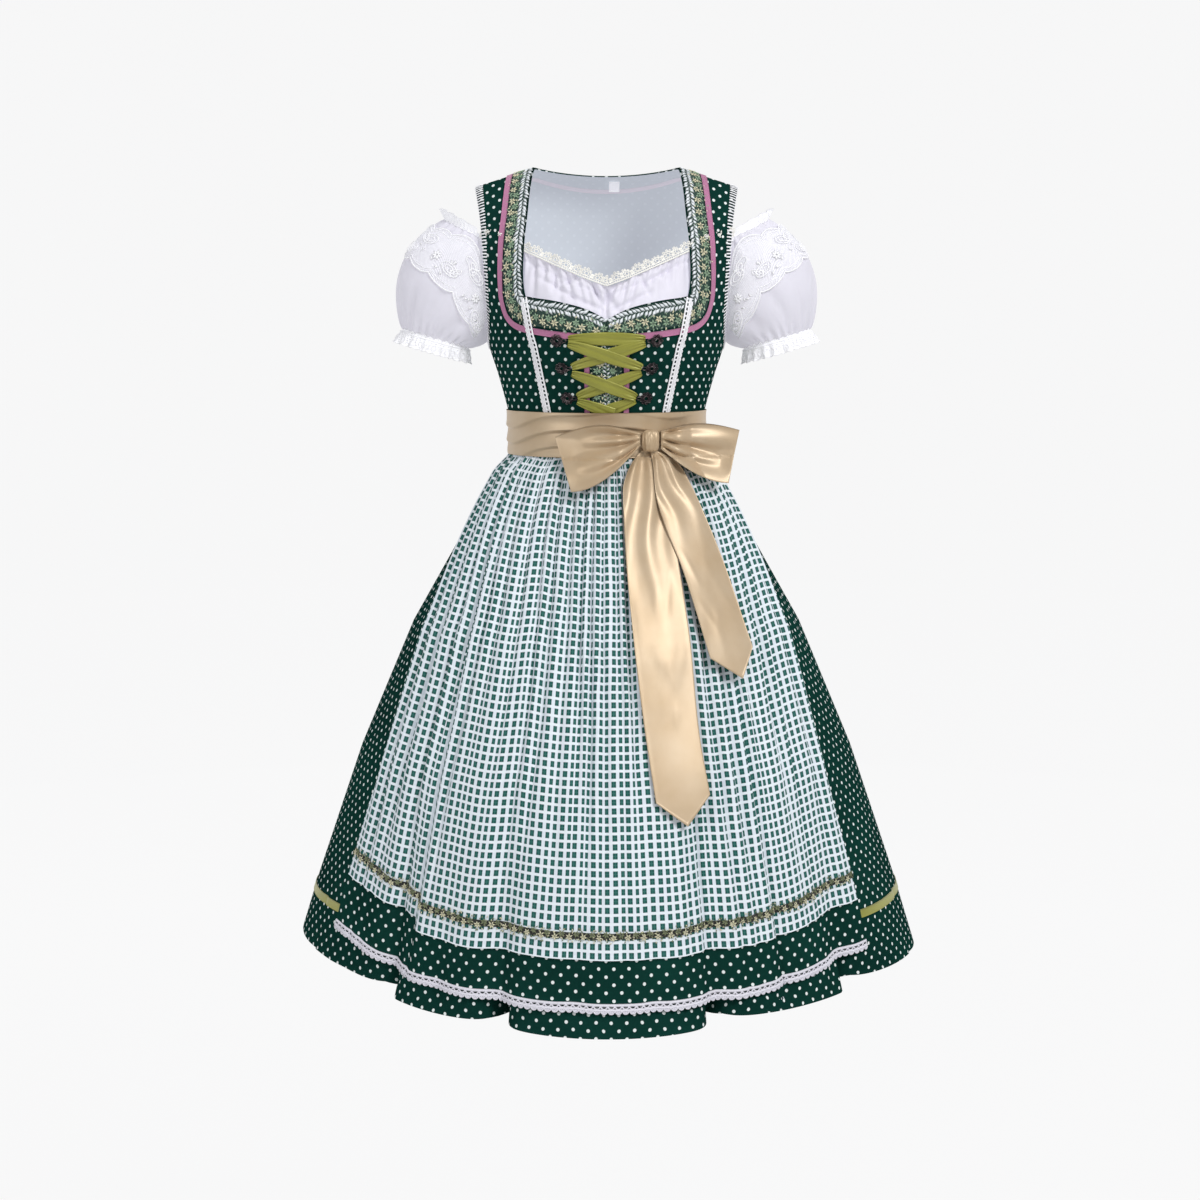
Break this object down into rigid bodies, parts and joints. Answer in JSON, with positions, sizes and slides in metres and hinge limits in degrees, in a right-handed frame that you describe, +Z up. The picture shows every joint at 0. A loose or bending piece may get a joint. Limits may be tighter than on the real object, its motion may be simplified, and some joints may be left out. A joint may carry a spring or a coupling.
{
  "type": "dirndl dress with its blouse and apron",
  "caption": "Dark green dotted dirndl with a laced bodice, puff-sleeved white blouse and a checked apron whose champagne satin sash is tied in a bow; kept in its worn, hollow form.",
  "frame": {"origin": "midway between the neck ends of the two shoulder seams, where the wearer's shoulders carry the dress", "axes": "+Z up, the front faces -Y, +X towards the wearer's left"},
  "size_m": [0.7926, 0.685, 0.9884],
  "materials": {
    "green_dotted_cloth": "dark green satin-weave cotton with a small white dot, pale blue-grey on its wrong side",
    "check_cloth": "white and pale lavender woven check with dark green squares",
    "white_cotton": "soft white cotton batiste",
    "sheer_cloth": "sheer white organza",
    "white_lace": "white cotton lace",
    "gold_satin": "champagne satin",
    "olive_satin": "olive satin ribbon",
    "pink_ribbon": "ribbed old-pink ribbon",
    "floral_braid": "woven braid with leaves and small flowers",
    "dark_metal": "antiqued dark cast metal"
  },
  "bodies": {
    "root": {"bodice_centre_right": "green_dotted_cloth", "bodice_centre_left": "green_dotted_cloth", "bodice_side_right": "green_dotted_cloth", "bodice_side_left": "green_dotted_cloth", "bodice_back": "green_dotted_cloth", "skirt_front": "green_dotted_cloth", "skirt_back": "green_dotted_cloth", "apron_band": "green_dotted_cloth", "apron_check": "check_cloth", "neck_label": "white_cotton", "blouse_front": "white_cotton", "blouse_back": "white_cotton", "sleeve_right": "sheer_cloth", "sleeve_left": "sheer_cloth", "lace_tape_right": "white_lace", "lace_tape_left": "white_lace", "neckline_lace": "white_lace", "cuff_ruffle_right": "white_lace", "cuff_ruffle_left": "white_lace", "shoulder_ruffle_right": "white_lace", "shoulder_ruffle_left": "white_lace", "apron_lace": "white_lace", "sash": "gold_satin", "bow_knot": "gold_satin", "bow_loop_right": "gold_satin", "bow_loop_left": "gold_satin", "bow_tail_long": "gold_satin", "bow_tail_short": "gold_satin", "hem_ribbon": "olive_satin", "lacing_bar": "olive_satin", "lacing_over_1": "olive_satin", "lacing_under_1": "olive_satin", "lacing_over_2": "olive_satin", "lacing_under_2": "olive_satin", "lacing_end_1": "olive_satin", "lacing_end_2": "olive_satin", "neck_ribbon": "pink_ribbon", "neck_ribbon_back": "pink_ribbon", "placket_ribbon_right": "pink_ribbon", "placket_ribbon_left": "pink_ribbon", "neck_braid_right": "floral_braid", "neck_braid_left": "floral_braid", "neck_braid_back": "floral_braid", "placket_braid": "floral_braid", "apron_braid": "floral_braid", "hook_right_1": "dark_metal", "hook_left_1": "dark_metal", "hook_right_2": "dark_metal", "hook_left_2": "dark_metal", "hook_right_3": "dark_metal", "hook_left_3": "dark_metal"}
  },
  "joints": []
}
